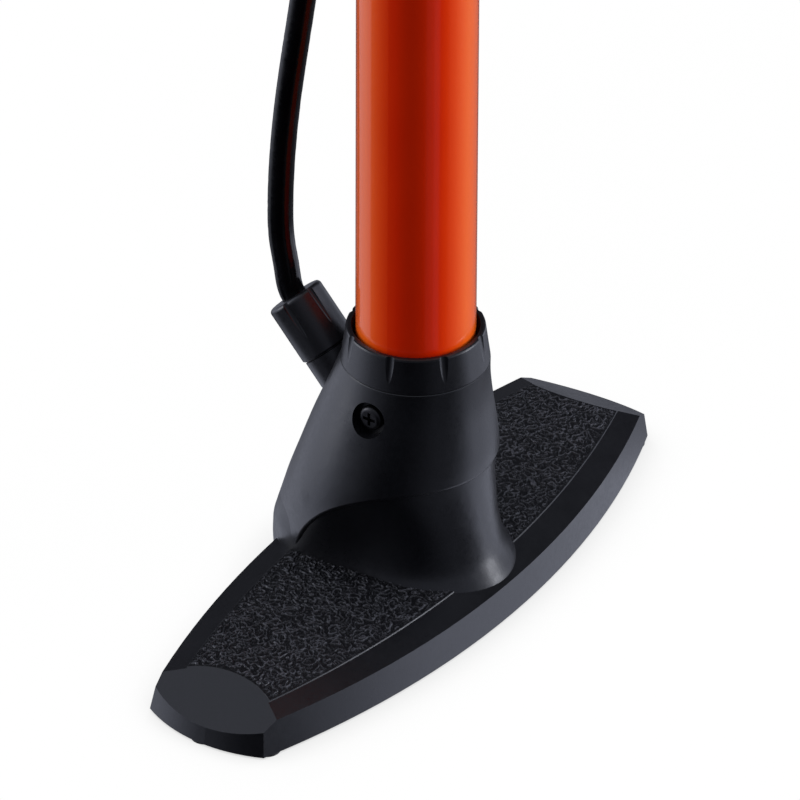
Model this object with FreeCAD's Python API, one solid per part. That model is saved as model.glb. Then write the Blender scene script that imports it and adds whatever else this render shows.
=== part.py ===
import FreeCAD, Part
import math
import os

# Floor bike pump. Millimetres. The origin is on the floor under the barrel's axis.
# +X runs along the foot plate, -Y is the user's side, +Z is up.

V = FreeCAD.Vector
X_AXIS = V(1, 0, 0)
Y_AXIS = V(0, 1, 0)
Z_AXIS = V(0, 0, 1)
FAR = 400.0

# ---- driving dimensions ------------------------------------------------------------

FOOT_DROP = 0.8            # how far the rubber feet stand out under the plate
PLATE_RIM_Z = 12.0         # top edge of the plate's side wall
TREAD_EDGE_Z = 13.9        # where the sloping rim meets the tread
TREAD_STEP_RUN = 0.15      # little step up to the tread
TREAD_STEP_RISE = 0.35
CROWN_Z = 16.1             # highest line of the tread
FRONT_CENTRE_Y = 279.3
FRONT_LOW_R = 316.7
FRONT_TOP_R = 315.3
TREAD_FRONT_CENTRE_Y = 330.7
TREAD_FRONT_R = 357.4
TREAD_BACK_Y = 31.2
TREAD_BACK_R = 437.0
BACK_TOP_Y = 39.9
BACK_TOP_R = 400.0
BACK_DRAFT = 2.6           # the back wall leans in by this much over its height
END_CENTRE_X = 66.25
END_CENTRE_Y = 2.3
END_LOW_R = 48.9
END_TOP_R = 47.2
FACET_X = 105.0            # a point on the sloping facet that ends the plate
FACET_Y = 4.0
FACET_Z = 11.38
FACET_SLOPE = 0.508        # fall per millimetre along the plate
FACET_LEAN = -0.024        # fall towards the back

FOOT_SPOTS = [(105.4, -14.6), (110.4, 5.2), (104.6, 23.7)]
FOOT_R = 4.4               # of the flange that stands on the floor
FOOT_PLUG_R = 3.5
FOOT_SINK = 3.0
PAD_SINK = 5.0

HUB_TOP_Z = 84.0
OPENING_R = 15.0           # service opening under the valve block
# height, depth radius, width radius and backward shift of the bell-shaped hub's sections
BELL_LEVELS = [
    (FOOT_DROP, 26.3, 25.6, 22.5),
    (8.0, 26.7, 26.0, 22.3),
    (15.8, 28.2, 27.3, 20.4),
    (25.8, 31.7, 30.9, 13.8),
    (35.8, 32.8, 32.3, 9.4),
    (45.8, 32.0, 32.0, 6.5),
    (55.8, 30.2, 30.2, 4.7),
    (65.8, 27.7, 27.7, 3.3),
    (75.8, 25.2, 25.2, 1.7),
    (HUB_TOP_Z, 23.6, 23.6, 0.0),
]
ARCH_R = 50.0              # arch that cuts the bell free over the shoe space
ARCH_Y = -20.0
ARCH_Z = -0.6
CREASE_R = 1.0             # rounding of the arch's edge
# height, front line, half widths at y = -14, 4 and 20, and how far inside the bell the skirt runs
# at y = 30; it stands a little proud of the bell low down
SKIRT_LEVELS = [
    (11.0, -34.2, 27.2, 28.9, 28.6, -0.3),
    (14.0, -33.2, 26.0, 28.0, 27.8, -0.3),
    (17.0, -31.2, 24.1, 27.2, 27.5, -0.3),
    (22.0, -29.0, 22.2, 26.3, 27.9, -0.25),
    (29.0, -27.2, 21.1, 26.2, 29.5, 0.25),
    (35.0, -26.2, 21.3, 27.2, 30.3, 0.35),
    (41.0, -25.4, 21.8, 29.0, 29.9, 0.35),
    (47.0, -25.0, 22.4, 30.3, 28.0, 0.35),
    (51.0, -24.6, 22.6, 29.6, 26.8, 0.35),
]

BARREL_R = 19.0
BARREL_BORE_R = 17.5
BARREL_LOW_Z = 66.0
BARREL_TOP_Z = 572.0
SCREW_Z = 73.1
SCREW_SEAT_X = 22.4
SCREW_SEAT_R = 5.8
SCREW_TURN = -2.4          # the screws' axis is turned this much about the barrel

BLOCK_R = 19.0
BLOCK_NECK_R = 17.45
BLOCK_LOW_Z = 36.8
BLOCK_TOP_Z = 86.8
CHECK_CHAMBER_R = 5.0
CHECK_SEAT_Z = 66.8
INLET_R = 3.0

OUTLET_POINT = V(0, 32.9, 75.7)     # on the outlet's axis, at the union nut's lower end
OUTLET_TILT = math.radians(41.8)    # the outlet's lean away from the barrel
OUTLET_DIR = V(0, math.sin(OUTLET_TILT), math.cos(OUTLET_TILT))
OUTLET_R = 8.9
OUTLET_SHANK_R = 3.5
OUTLET_SHOULDER = 9.5      # how far the shoulder reaches into the hub
NUT_R = 9.4
NUT_LENGTH = 19.8

HOSE_R = 4.1
HOSE_BORE_R = 2.65
HOSE_TOP_Z = 512.9

ROD_R = 6.0
PISTON_R = 17.2
HANDLE_Z = 640.0
HANDLE_HALF = 122.0

YOKE_LOW_Z = 516.0
YOKE_TOP_Z = 548.0
YOKE_R = 25.5
PORT_Y = 30.0
PORT_B_X = -21.0
CHANNEL_Z = 532.0

GAUGE_TILT = math.radians(40.0)
GAUGE_DIR = V(0, -math.cos(GAUGE_TILT), math.sin(GAUGE_TILT))
GAUGE_BACK = V(0, -48.6, 528.9)     # centre of the gauge case's back face
GAUGE_R = 34.0
NEEDLE_ZERO_DEG = 135.0

HEAD_X = 44.0
HEAD_Y = 30.0
HEAD_Z = 545.0
HEAD_PIVOT_Y = 14.0
FORK_GAP_R = 7.65          # the fork is open towards the user
BARB_R = 2.5

# ---- helpers -----------------------------------------------------------------------


def cyl(radius, low, high, x=0.0, y=0.0):
    """Upright cylinder between two heights."""
    return Part.makeCylinder(radius, high - low, V(x, y, low))


def ring(outer, inner, low, high, x=0.0, y=0.0):
    """Upright tube between two heights."""
    return cyl(outer, low, high, x, y).cut(cyl(inner, low - 1, high + 1, x, y))


def block(x0, x1, y0, y1, z0, z1):
    """Box between two corners."""
    return Part.makeBox(x1 - x0, y1 - y0, z1 - z0, V(x0, y0, z0))


def turned(points):
    """Solid turned about Z from a closed outline of (radius, height) points."""
    outline = [V(r, 0, z) for r, z in points]
    outline.append(outline[0])
    return Part.Face(Part.makePolygon(outline)).revolve(V(0, 0, 0), Z_AXIS, 360)


def along(shape, base, direction):
    """Move a shape built upwards from the origin so that it starts at base and points along direction."""
    placed = shape.copy()
    placed.Placement = FreeCAD.Placement(base, FreeCAD.Rotation(Z_AXIS, direction))
    return placed


def fuse(shapes):
    """Join shapes into one and drop the seams between them."""
    joined = shapes[0]
    for shape in shapes[1:]:
        joined = joined.fuse(shape)
    return joined.removeSplitter()


def mirrored_pair(shape):
    """A shape and its mirror image across the YZ plane."""
    return [shape, shape.mirror(V(0, 0, 0), X_AXIS)]


def turned_pair(shape):
    """A shape and its mirror image, turned together to the screws' axis."""
    pair = mirrored_pair(shape)
    for piece in pair:
        piece.rotate(V(0, 0, 0), Z_AXIS, SCREW_TURN)
    return pair


def save(node, shape):
    """Write one node of the pump."""
    shape.exportStep("parts/" + node + ".step")


def hose(points):
    """Hollow hose along a smooth curve through points."""
    curve = Part.BSplineCurve()
    curve.interpolate(Points=points)
    first_dir = curve.tangent(curve.FirstParameter)[0]
    outer = Part.Wire([Part.Circle(points[0], first_dir, HOSE_R).toShape()])
    inner = Part.Wire([Part.Circle(points[0], first_dir, HOSE_BORE_R).toShape()])
    section = Part.Face([outer, inner])
    section.validate()
    return Part.Wire([curve.toShape()]).makePipe(section)


# ---- foot plate and hub ------------------------------------------------------------


def front_arc(centre_y, radius, x):
    """Height in Y of an arc that bulges towards the user."""
    return centre_y - math.sqrt(radius ** 2 - x ** 2)


def back_arc(apex_y, radius, x):
    """Height in Y of an arc that bulges away from the user."""
    return apex_y - radius + math.sqrt(radius ** 2 - x ** 2)


def plate_section(x):
    """Closed outline of the foot plate, cut across at x."""
    low_front = V(x, front_arc(FRONT_CENTRE_Y, FRONT_LOW_R, x), FOOT_DROP)
    rim_front = V(x, front_arc(FRONT_CENTRE_Y, FRONT_TOP_R, x), PLATE_RIM_Z)
    tread_front_y = front_arc(TREAD_FRONT_CENTRE_Y, TREAD_FRONT_R, x)
    tread_back_y = back_arc(TREAD_BACK_Y, TREAD_BACK_R, x)
    step_front = V(x, tread_front_y, TREAD_EDGE_Z)
    tread_front = V(x, tread_front_y + TREAD_STEP_RUN, TREAD_EDGE_Z + TREAD_STEP_RISE)
    crown = V(x, (tread_front_y + tread_back_y) / 2, CROWN_Z)
    tread_back = V(x, tread_back_y - TREAD_STEP_RUN, TREAD_EDGE_Z + TREAD_STEP_RISE)
    step_back = V(x, tread_back_y, TREAD_EDGE_Z)
    rim_back = V(x, back_arc(BACK_TOP_Y, BACK_TOP_R, x), PLATE_RIM_Z)
    low_back = V(x, rim_back.y + BACK_DRAFT, FOOT_DROP)
    return Part.Wire([
        Part.makeLine(low_front, rim_front),
        Part.makeLine(rim_front, step_front),
        Part.makeLine(step_front, tread_front),
        Part.Arc(tread_front, crown, tread_back).toShape(),
        Part.makeLine(tread_back, step_back),
        Part.makeLine(step_back, rim_back),
        Part.makeLine(rim_back, low_back),
        Part.makeLine(low_back, low_front),
    ])


def end_region():
    """Everything inside the plate's two rounded, drafted ends."""
    height = 2 * (PLATE_RIM_Z - FOOT_DROP)
    top_r = END_LOW_R - 2 * (END_LOW_R - END_TOP_R)
    cone = Part.makeCone(END_LOW_R, top_r, height, V(END_CENTRE_X, END_CENTRE_Y, FOOT_DROP))
    middle = block(-END_CENTRE_X, END_CENTRE_X, -FAR, FAR, FOOT_DROP, FOOT_DROP + height)
    return fuse([middle] + mirrored_pair(cone))


def end_facet_cutter():
    """Block above the flat facet that slopes the plate's end down to the tip."""
    corners = []
    for x, y in ((90.0, -50.0), (130.0, -50.0), (130.0, 60.0), (90.0, 60.0)):
        z = FACET_Z - FACET_SLOPE * (x - FACET_X) + FACET_LEAN * (y - FACET_Y)
        corners.append(V(x, y, z))
    return Part.Face(Part.makePolygon(corners + [corners[0]])).extrude(V(0, 0, 60))


def plate():
    """Foot plate before the hub is added."""
    sections = [plate_section(x) for x in (-120, -80, -40, 0, 40, 80, 120)]
    body = Part.makeLoft(sections, True, False)
    body = body.common(end_region())
    for cutter in mirrored_pair(end_facet_cutter()):
        body = body.cut(cutter)
    return body


def bell_at(z):
    """Depth radius, width radius and backward shift of the bell at a height."""
    for low, high in zip(BELL_LEVELS, BELL_LEVELS[1:]):
        if z <= high[0]:
            part = (z - low[0]) / (high[0] - low[0])
            return [a + part * (b - a) for a, b in zip(low[1:], high[1:])]
    return list(BELL_LEVELS[-1][1:])


def bell_half_width(z, y):
    """Half width of the bell at a height and a depth."""
    depth_r, width_r, shift = bell_at(z)
    return width_r * math.sqrt(1 - ((y - shift) / depth_r) ** 2)


def oval(z, depth_r, width_r, shift):
    """Closed oval section of the bell."""
    seam_turn = 125.0      # keeps the surface's seam away from every hole
    count = 32
    points = []
    for index in range(count):
        angle = math.radians(seam_turn + 360.0 * index / count)
        points.append(V(width_r * math.cos(angle), shift + depth_r * math.sin(angle), z))
    curve = Part.BSplineCurve()
    curve.interpolate(Points=points, PeriodicFlag=True)
    return Part.Wire([curve.toShape()])


def bell():
    """Bell-shaped hub, with the arch cut out of it and the arch's edge rounded."""
    body = Part.makeLoft([oval(*level) for level in BELL_LEVELS], True, False)
    arch = Part.makeCylinder(ARCH_R, 200, V(-100, ARCH_Y, ARCH_Z), X_AXIS)
    body = body.cut(arch)
    crease = [edge for edge in body.Edges if 45 < edge.BoundBox.ZMax < 60 and edge.Length > 25]
    return body.makeFillet(CREASE_R, crease)


def skirt_section(z, front_y, half_front, half_middle, half_rear, inset):
    """One closed section of the skirt that joins the hub to the plate."""
    depth_r, width_r, shift = bell_at(z)
    rear_y = 30.0
    side = [(half_front, -14.0), (half_middle, 4.0), (half_rear, 20.0)]
    side.append((bell_half_width(z, rear_y) - inset, rear_y))
    points = [V(0, shift + depth_r - 3.0, z)]
    points += [V(-w, y, z) for w, y in reversed(side)]
    points.append(V(0, front_y, z))
    points += [V(w, y, z) for w, y in side]
    curve = Part.BSplineCurve()
    curve.interpolate(Points=points, PeriodicFlag=True)
    return Part.Wire([curve.toShape()])


def skirt():
    """Concave skirt under the arch."""
    return Part.makeLoft([skirt_section(*level) for level in SKIRT_LEVELS], True, False)


def plate_pockets():
    """Hollows under the plate, with stiffening ribs left standing."""
    wall = 4.5
    ceiling = 10.6
    half = 88.0
    front = [V(x, front_arc(FRONT_CENTRE_Y, FRONT_LOW_R, x) + wall, 0) for x in (-half, 0, half)]
    back = [V(x, back_arc(BACK_TOP_Y, BACK_TOP_R, x) - wall, 0) for x in (half, 0, -half)]
    outline = Part.Wire([
        Part.Arc(*front).toShape(),
        Part.makeLine(front[2], back[0]),
        Part.Arc(*back).toShape(),
        Part.makeLine(back[2], front[0]),
    ])
    pocket = Part.Face(outline).extrude(V(0, 0, ceiling))
    rib = 1.2
    for x in (28.0, 48.0, 68.0):
        for side in (-1, 1):
            pocket = pocket.cut(block(side * x - rib, side * x + rib, -FAR, FAR, -1, FAR))
    pocket = pocket.cut(block(-FAR, FAR, 2 - rib, 2 + rib, -1, FAR))
    return pocket.cut(cyl(19.0, -1, FAR))


def outlet_cut(radius, start, end):
    """Cylinder on the outlet's axis; distances run downwards from the nut's lower end."""
    base = OUTLET_POINT - OUTLET_DIR * end
    return Part.makeCylinder(radius, end - start, base, OUTLET_DIR)


def screw_cut(radius, inner_x, outer_x):
    """Holes on the two hub screws' axis."""
    hole = Part.makeCylinder(radius, outer_x - inner_x, V(inner_x, 0, SCREW_Z), X_AXIS)
    return turned_pair(hole)


def foot_spots():
    """Plan positions of the six small feet."""
    return [(side * x, y) for x, y in FOOT_SPOTS for side in (-1, 1)]


def hub_shell():
    """Hub and skirt with their bores, seats and holes."""
    body = bell().fuse(skirt())
    body = body.cut(cyl(OPENING_R, -1, FAR))
    body = body.cut(cyl(BARREL_R + 0.1, BLOCK_LOW_Z, FAR))
    body = body.cut(cyl(21.05, HUB_TOP_Z - 3.7, FAR))
    chamfer = turned([
        (23.4, HUB_TOP_Z + 1), (25.5, HUB_TOP_Z + 1), (25.5, HUB_TOP_Z - 2.1), (23.4, HUB_TOP_Z),
    ])
    body = body.cut(chamfer)
    body = body.cut(heel_hollow())
    body = body.cut(outlet_cut(OUTLET_R + 0.05, -20, OUTLET_SHOULDER + 0.05))
    body = body.cut(outlet_cut(OUTLET_SHANK_R + 0.1, 0, 30))
    for cutter in screw_cut(2.6, 15, 30) + screw_cut(SCREW_SEAT_R, SCREW_SEAT_X, 32):
        body = body.cut(cutter)
    return body


def heel_hollow():
    """Tapered hollow in the heel behind the barrel, open to the floor."""
    return Part.makeCone(9.0, 6.0, 34.0, V(0, 33, 0))


def foot_base():
    """The one moulding that is plate, skirt and hub."""
    body = plate().cut(plate_pockets())
    body = body.cut(cyl(OPENING_R, -1, FAR))
    body = body.cut(heel_hollow())
    for x, y in foot_spots():
        body = body.cut(cyl(FOOT_PLUG_R + 0.05, 0, FOOT_DROP + FOOT_SINK, x, y))
    return body.fuse(hub_shell())


def rubber_feet():
    """Six round studs with flanges, pressed into the plate's underside."""
    studs = []
    for x, y in foot_spots():
        flange = cyl(FOOT_R, 0, FOOT_DROP, x, y)
        studs.append(flange.fuse(cyl(FOOT_PLUG_R, 0, FOOT_DROP + FOOT_SINK, x, y)))
    return Part.makeCompound(studs)


def hub_pad():
    """Rubber pad that closes the opening under the hub and stands on the floor."""
    return cyl(OPENING_R - 0.05, 0, PAD_SINK)


def barrel_lock_ring():
    """Grooved ring screwed down around the barrel."""
    top = 96.05
    body = turned([
        (19.15, HUB_TOP_Z - 3.6),
        (21.0, HUB_TOP_Z - 3.6),
        (21.0, HUB_TOP_Z),
        (23.2, HUB_TOP_Z),
        (23.55, HUB_TOP_Z + 0.35),
        (22.05, top - 0.7),
        (21.85, top - 0.2),
        (21.3, top),
        (20.3, top),
        (19.15, top - 4.0),
    ])
    groove_r = 2.1
    foot_r = 23.5 + groove_r
    lean = 13.2            # the grooves run in more steeply than the ring's own slope
    slot = Part.makeCylinder(groove_r, 20, V(foot_r, 0, HUB_TOP_Z + 2.0))
    slot.rotate(V(foot_r, 0, HUB_TOP_Z + 2.0), Y_AXIS, -lean)
    for index in range(8):
        cutter = slot.copy()
        cutter.rotate(V(0, 0, 0), Z_AXIS, 11.8 + 45 * index)
        body = body.cut(cutter)
    return body


def base_screws():
    """Two cross-recess screws through hub, barrel and valve block."""
    head = Part.makeCylinder(4.1, 2.5, V(0, 0, 0))
    head = head.makeFillet(1.4, [edge for edge in head.Edges if edge.BoundBox.ZMin > 2])
    shank = cyl(2.4, -13.2, 0)
    slots = block(-0.55, 0.55, -2.3, 2.3, 1.1, 3).fuse(block(-2.3, 2.3, -0.55, 0.55, 1.1, 3))
    screw = fuse([head, shank]).cut(slots)
    placed = along(screw, V(SCREW_SEAT_X, 0, SCREW_Z), X_AXIS)
    return Part.makeCompound(turned_pair(placed))


# ---- valve block -------------------------------------------------------------------


def valve_block():
    """Plug at the barrel's foot that holds the check valve."""
    body = cyl(BLOCK_R, BLOCK_LOW_Z, BARREL_LOW_Z).fuse(cyl(BLOCK_NECK_R, BARREL_LOW_Z, BLOCK_TOP_Z))
    body = body.cut(cyl(CHECK_CHAMBER_R, 0, CHECK_SEAT_Z))
    body = body.cut(cyl(INLET_R, CHECK_SEAT_Z - 1, FAR))
    body = body.cut(ring(30, 15.85, 80.9, 82.7))
    body = body.cut(outlet_cut(OUTLET_SHANK_R + 0.05, 0, 31.1))
    body = body.cut(Part.makeCylinder(2.0, 15.0, V(0, 0, 50.8), Y_AXIS))
    for cutter in screw_cut(2.45, 8.5, 30):
        body = body.cut(cutter)
    return body


def check_poppet():
    """Non-return valve disc on a guide stem."""
    return fuse([cyl(4.2, 64.6, CHECK_SEAT_Z), cyl(1.8, 54.0, 64.6)])


def check_spring():
    """Coil spring under the valve disc."""
    wire_r = 0.4
    coil_r = 3.0
    low = 47.3
    high = 64.1
    turns = 6
    helix = Part.makeHelix((high - low) / turns, high - low, coil_r)
    circle = Part.Wire([Part.Circle(V(coil_r, 0, 0), Y_AXIS, wire_r).toShape()])
    coil = Part.Wire(helix.Edges).makePipeShell([circle], True, True)
    coil.translate(V(0, 0, low))
    return coil


def check_plug():
    """Screwed plug that closes the valve chamber from below."""
    body = cyl(4.95, 37.3, 46.8)
    return body.cut(block(-0.6, 0.6, -6, 6, 36, 39))


# ---- outlet and lower hose ---------------------------------------------------------


def outlet_elbow():
    """Angled hose outlet: shank in the valve block, shoulder, thread and hose barb."""
    pieces = [
        outlet_cut(OUTLET_SHANK_R, 9.0, 31.0),
        outlet_cut(OUTLET_R, 0.5, OUTLET_SHOULDER),
        outlet_cut(6.6, -9.0, 0.6),
        outlet_cut(2.5, -18.0, -9.0),
    ]
    return fuse(pieces).cut(outlet_cut(1.7, -21, 32))


def hose_nut():
    """Union nut with raised grip pads that fade out towards its foot."""
    body = Part.makeCylinder(NUT_R, NUT_LENGTH, V(0, 0, 0))
    top_edge = [edge for edge in body.Edges if edge.BoundBox.ZMin > NUT_LENGTH - 0.1]
    body = body.makeFillet(1.4, top_edge)
    low_edge = [edge for edge in body.Edges if edge.BoundBox.ZMax < 0.1]
    body = body.makeChamfer(0.5, low_edge)
    grooves = 6
    groove_r = 1.0
    groove_low = 6.0
    lean = 4.2
    foot = V(NUT_R + groove_r + 0.05, 0, groove_low)
    for index in range(grooves):
        groove = Part.makeCylinder(groove_r, 20, foot)
        groove.rotate(foot, Y_AXIS, -lean)
        groove.rotate(V(0, 0, 0), Z_AXIS, 18.6 + 360.0 / grooves * index)
        body = body.cut(groove)
    body = body.cut(cyl(6.65, -1, 9.2))
    body = body.cut(cyl(HOSE_R + 0.2, 0, 40))
    return along(body, OUTLET_POINT, OUTLET_DIR)


def lower_hose():
    """Hose from the outlet up to the gauge yoke, in the plane behind the barrel."""
    on_axis = [OUTLET_POINT + OUTLET_DIR * distance for distance in (9.5, 12.0, 15.0, 18.0, 20.0)]
    line = [
        (48.7, 99.0), (50.6, 109.5), (51.15, 122.0), (49.95, 145.5), (47.3, 168.5), (43.2, 195.5),
        (38.0, 235.0), (34.0, 280.0), (31.2, 345.0), (30.1, 410.0), (PORT_Y, 450.0), (PORT_Y, 490.0),
        (PORT_Y, 497.0), (PORT_Y, 502.0), (PORT_Y, 507.0), (PORT_Y, HOSE_TOP_Z),
    ]
    return hose(on_axis + [V(0, y, z) for y, z in line])


# ---- barrel, piston and rod --------------------------------------------------------


def barrel_tube():
    """Barrel, with the two screw holes near its foot."""
    body = ring(BARREL_R, BARREL_BORE_R, BARREL_LOW_Z, BARREL_TOP_Z)
    for cutter in screw_cut(2.6, 10, 30):
        body = body.cut(cutter)
    return body


def barrel_cap():
    """Fluted screw cap on the barrel's top end."""
    low = 556.0
    top = 596.0
    body = turned([
        (0, low), (22.6, low), (23.4, low + 0.8), (24.2, low + 8), (24.2, low + 28),
        (23.2, low + 33), (20.0, low + 37.5), (14.0, top), (0, top),
    ])
    flutes = 16
    for index in range(flutes):
        flute = cyl(2.2, low + 5, low + 27, 25.6, 0)
        flute.rotate(V(0, 0, 0), Z_AXIS, 360.0 / flutes * index)
        body = body.cut(flute)
    body = body.cut(cyl(BARREL_R + 0.05, low - 1, BARREL_TOP_Z))
    return body.cut(cyl(10.05, low, top + 1))


def rod_bush():
    """Flanged guide bush for the piston rod."""
    body = cyl(10.0, BARREL_TOP_Z, 592).fuse(cyl(13.0, 568, BARREL_TOP_Z))
    return body.cut(cyl(ROD_R + 0.05, 560, 600))


def rod_wiper():
    """Rubber wiper ring on top of the bush."""
    body = turned([(ROD_R + 0.04, 592), (9.9, 592), (9.9, 596.4), (8.4, 597.4), (ROD_R + 0.04, 597.4)])
    return body


def piston_cup():
    """Cup seal with its lip turned down towards the pressure side."""
    return turned([
        (3.1, 91.2), (15.6, 91.2), (16.4, 90.4), (16.7, 87.8), (17.45, 87.8),
        (17.45, 93.2), (3.1, 93.2),
    ])


def piston_wear_ring():
    """Split guide ring in the piston's groove."""
    body = ring(17.43, 15.75, 98.1, 103.9)
    return body.cut(block(14, 20, -0.8, 0.8, 90, 110))


def piston_body():
    """Piston that carries the seal and the wear ring."""
    body = turned([
        (0, 93.2), (PISTON_R, 93.2), (PISTON_R, 98.0), (15.7, 98.0), (15.7, 104.0),
        (PISTON_R, 104.0), (PISTON_R, 108.0), (9.5, 109.5), (9.5, 116.0), (0, 116.0),
    ])
    body = body.cut(cyl(3.1, 90, 96))
    return body.cut(cyl(ROD_R + 0.03, 95, 120))


def piston_bolt():
    """Bolt that clamps the cup seal to the rod."""
    hexagon = Part.makePolygon([
        V(7 * math.cos(math.radians(60 * i)), 7 * math.sin(math.radians(60 * i)), 88.2)
        for i in range(7)
    ])
    head = Part.Face(hexagon).extrude(V(0, 0, 3.0))
    return fuse([head, cyl(3.0, 91.2, 104)])


def top_bumper():
    """Rubber ring on the piston that softens the top of the stroke."""
    return turned([(6.05, 116.1), (13, 116.1), (14, 117.5), (14, 122.5), (13, 124), (6.05, 124)])


def piston_rod():
    """Rod, solid at both ends and hollow between."""
    low = 95.05
    body = cyl(ROD_R, low, HANDLE_Z)
    body = body.cut(cyl(3.05, low - 1, 106))
    body = body.cut(cyl(3.05, 624, 700))
    return body.cut(cyl(4.8, 116, 612))


# ---- handle ------------------------------------------------------------------------


def turned_about_handle(points):
    """Solid turned about the handle bar from (x, radius) points."""
    outline = [V(x, 0, r) for x, r in points]
    outline.append(outline[0])
    solid = Part.Face(Part.makePolygon(outline)).revolve(V(0, 0, 0), X_AXIS, 360)
    solid.translate(V(0, 0, HANDLE_Z))
    return solid


GRIP_START = 27.0
BAR_R = 10.0


def handle_core():
    """Cross bar with a boss that takes the rod."""
    bar = turned_about_handle([
        (-HANDLE_HALF, 0), (-HANDLE_HALF, BAR_R), (-GRIP_START, BAR_R), (-GRIP_START, 15.4),
        (-20, 16.4), (-10, 17.2), (10, 17.2), (20, 16.4), (GRIP_START, 15.4),
        (GRIP_START, BAR_R), (HANDLE_HALF, BAR_R), (HANDLE_HALF, 0),
    ])
    boss = turned([(0, 604), (10.4, 604), (11.2, 605), (12.4, 616), (16.2, 632), (16.2, 640), (0, 640)])
    body = fuse([bar, boss])
    body = body.cut(cyl(ROD_R + 0.03, 600, HANDLE_Z + 0.1))
    body = body.cut(cyl(3.1, HANDLE_Z, 700))
    body = body.cut(cyl(6.2, 652, 700))
    for hole in mirrored_pair(Part.makeCylinder(4.0, 14, V(HANDLE_HALF - 13, 0, HANDLE_Z), X_AXIS)):
        body = body.cut(hole)
    return body


def grip():
    """Soft grip sleeve on the right half of the bar."""
    sleeve = turned_about_handle([
        (GRIP_START + 0.1, BAR_R + 0.02), (GRIP_START + 0.1, 15.2), (GRIP_START + 2, 16.2),
        (36, 15.4), (48, 14.9), (62, 15.5), (76, 16.3), (90, 15.8), (102, 14.9), (112, 15.6),
        (118, 17.0), (HANDLE_HALF, 17.2), (HANDLE_HALF, BAR_R + 0.02),
    ])
    for index in range(9):
        x = 45 + 7 * index
        outer = Part.makeCylinder(20, 1.6, V(x, 0, HANDLE_Z), X_AXIS)
        inner = Part.makeCylinder(14.3, 1.6, V(x, 0, HANDLE_Z), X_AXIS)
        sleeve = sleeve.cut(outer.cut(inner))
    return sleeve


def handle_end_caps():
    """Plugs that close the bar's two ends."""
    end = HANDLE_HALF
    cap = turned_about_handle([
        (end - 12, 0), (end - 12, 3.95), (end + 0.05, 3.95), (end + 0.05, 16.6),
        (end + 2.2, 15.8), (end + 3.6, 13.4), (end + 4.2, 9), (end + 4.2, 0),
    ])
    return Part.makeCompound(mirrored_pair(cap))


def handle_bolt():
    """Bolt that holds the handle on the rod."""
    body = fuse([cyl(3.0, 625, 652), cyl(5.6, 652, 655.6)])
    socket = Part.makePolygon([
        V(2.9 * math.cos(math.radians(60 * i)), 2.9 * math.sin(math.radians(60 * i)), 653.2)
        for i in range(7)
    ])
    return body.cut(Part.Face(socket).extrude(V(0, 0, 10)))


# ---- gauge -------------------------------------------------------------------------


def gauge_axis(radius, low, high):
    """Cylinder on the gauge's axis; distances run outwards from the case's back face."""
    return Part.makeCylinder(radius, high - low, GAUGE_BACK + GAUGE_DIR * low, GAUGE_DIR)


def gauge_turned(points):
    """Solid turned about the gauge's axis from (radius, distance) points."""
    return along(turned(points), GAUGE_BACK, GAUGE_DIR)


def gauge_yoke():
    """Clamp on the barrel: gauge arm, hose ports and the fork for the pump head."""
    collar = cyl(YOKE_R, YOKE_LOW_Z, YOKE_TOP_Z)
    arm = block(-11, 11, -64, -18, YOKE_LOW_Z + 2, YOKE_TOP_Z - 6)
    pad = gauge_axis(17, -5, 0)
    manifold = block(-29, 9, 14, 38, YOKE_LOW_Z, YOKE_TOP_Z - 4)
    uprights = [edge for edge in manifold.Edges if abs(edge.tangentAt(0).z) > 0.9]
    manifold = manifold.makeFillet(5, uprights)
    fork_low = 511.0
    fork_top = 526.0
    fork = block(HEAD_X - 12, HEAD_X + 12, 18, 43, fork_low, fork_top)
    uprights = [edge for edge in fork.Edges if abs(edge.tangentAt(0).z) > 0.9]
    fork = fork.makeFillet(3, uprights)
    fork_arm = block(14, HEAD_X - 8, 8, 27, YOKE_LOW_Z, fork_top)
    body = fuse([collar, arm, manifold, fork, fork_arm])
    body = body.cut(gauge_axis(80, 0, 80))
    body = body.fuse(pad).removeSplitter()
    body = body.cut(cyl(FORK_GAP_R, 500, 530, HEAD_X, HEAD_Y))
    body = body.cut(block(HEAD_X - FORK_GAP_R, HEAD_X + FORK_GAP_R, 0, HEAD_Y, 500, 530))
    body = body.cut(cyl(BARREL_R + 0.05, 500, 560))
    body = body.cut(gauge_axis(4.05, -12, 1))
    return body.cut(air_channels())


def air_channels():
    """Air ways inside the yoke, from both hose ports to the gauge."""
    bore = 1.3
    loop = Part.makeTorus(22.2, bore, V(0, 0, CHANNEL_Z), Z_AXIS)
    link = Part.makeCylinder(bore, PORT_Y - 22, V(0, 22, CHANNEL_Z), Y_AXIS)
    cross = Part.makeCylinder(bore, -PORT_B_X, V(PORT_B_X, PORT_Y, CHANNEL_Z), X_AXIS)
    front = Part.makeCylinder(bore, 15, V(0, -37, CHANNEL_Z), Y_AXIS)
    drops = [cyl(bore, 520, CHANNEL_Z, x, PORT_Y) for x in (0, PORT_B_X)]
    seats = [cyl(3.55, 515, 524, x, PORT_Y) for x in (0, PORT_B_X)]
    return fuse([loop, link, cross, front] + drops + seats)


def hose_barbs():
    """Two hexagonal hose nipples screwed into the yoke."""
    nipples = []
    for x in (0, PORT_B_X):
        corners = [
            V(x + 6 * math.cos(math.radians(60 * i)), PORT_Y + 6 * math.sin(math.radians(60 * i)), 513)
            for i in range(7)
        ]
        collar = Part.Face(Part.makePolygon(corners)).extrude(V(0, 0, 3.0))
        body = fuse([collar, cyl(3.5, 516, 523.5, x, PORT_Y), cyl(BARB_R, 499, 513, x, PORT_Y)])
        nipples.append(body.cut(cyl(1.5, 490, 530, x, PORT_Y)))
    return Part.makeCompound(nipples)


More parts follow.
